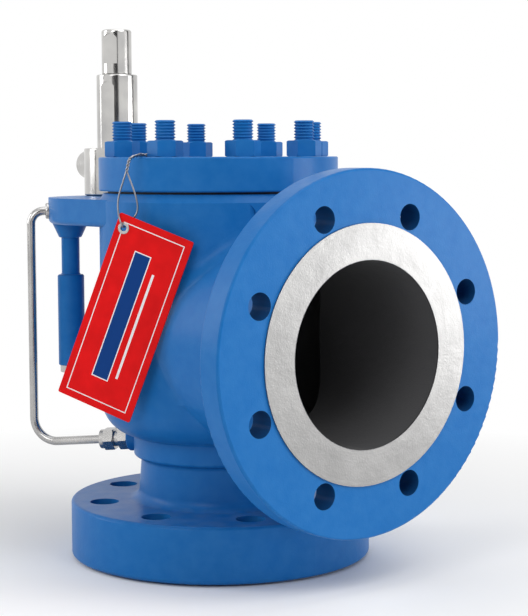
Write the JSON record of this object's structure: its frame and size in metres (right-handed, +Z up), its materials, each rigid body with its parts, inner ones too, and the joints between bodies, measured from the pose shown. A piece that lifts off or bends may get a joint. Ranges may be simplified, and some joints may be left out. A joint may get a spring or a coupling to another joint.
{
  "type": "pilot-operated safety valve",
  "caption": "Angle-pattern pilot-operated safety valve with flanged inlet and outlet, bolted cover, side pilot, supply tube and hanging tag.",
  "frame": {"origin": "centre of the inlet raised face", "axes": "+Z up along the inlet axis, +X towards the outlet, pilot on the -X side"},
  "size_m": [0.43, 0.3124, 0.486],
  "materials": {
    "blue_enamel": "semi-gloss blue enamel over cast steel",
    "machined_face": "turned sealing face",
    "inner_steel": "machined stainless steel",
    "polished_steel": "polished stainless steel",
    "zinc_steel": "plated steel",
    "spring_steel": "drawn spring wire",
    "graphite": "graphite sheet",
    "seal": "black elastomer",
    "filter_mesh": "sintered steel",
    "tag_card": "printed red plate"
  },
  "bodies": {
    "valve": {"valve_body": "blue_enamel", "seat_nozzle": "inner_steel", "guide_liner": "inner_steel", "cover_gasket": "graphite", "cover_plate": "blue_enamel", "cover_studs": "blue_enamel", "cover_nuts": "blue_enamel", "dome_spring": "spring_steel", "pilot_body": "polished_steel", "pilot_base_gasket": "graphite", "pilot_screws": "polished_steel", "test_plug": "polished_steel", "pilot_bonnet": "polished_steel", "upper_spring_plate": "inner_steel", "pilot_spring": "spring_steel", "lock_nut": "inner_steel", "cap_gasket": "graphite", "filter_bowl": "blue_enamel", "filter_element": "filter_mesh", "filter_plug": "polished_steel", "supply_tube": "polished_steel", "upper_connector": "polished_steel", "upper_tube_nut": "polished_steel", "lower_connector": "polished_steel", "lower_tube_nut": "polished_steel", "ferrule": "polished_steel", "tag_wire": "zinc_steel"},
    "main_piston": {"piston": "inner_steel", "piston_ring": "graphite", "seat_disc": "seal", "disc_retainer": "inner_steel", "retainer_screw": "polished_steel"},
    "spool": {"pilot_spool": "polished_steel", "spool_seals": "seal", "lower_spring_plate": "inner_steel"},
    "set_screw": {"adjusting_screw": "inner_steel"},
    "cap": {"pilot_cap": "polished_steel"},
    "tag": {"tag_plate": "tag_card", "tag_eyelet": "zinc_steel"}
  },
  "joints": [
    {"name": "piston_lift", "type": "slide", "parent": "valve", "child": "main_piston", "axis": [0, 0, 1], "range_m": [0, 0.018], "deforming": ["dome_spring"]},
    {"name": "spool_travel", "type": "slide", "parent": "valve", "child": "spool", "axis": [0, 0, 1], "range_m": [0, 0.003], "deforming": ["pilot_spring"]},
    {"name": "set_screw_turn", "type": "hinge", "parent": "valve", "child": "set_screw", "pos_m": [-0.167, 0, 0.446], "axis": [0, 0, 1], "range_deg": [-180, 180]},
    {"name": "cap_lift", "type": "slide", "parent": "valve", "child": "cap", "axis": [0, 0, 1], "range_m": [0, 0.045]},
    {"name": "tag_swing", "type": "hinge", "parent": "valve", "child": "tag", "pos_m": [0.0315, -0.12297, 0.302], "axis": [0.5878, -0.809, 0], "range_deg": [-25, 3]}
  ]
}
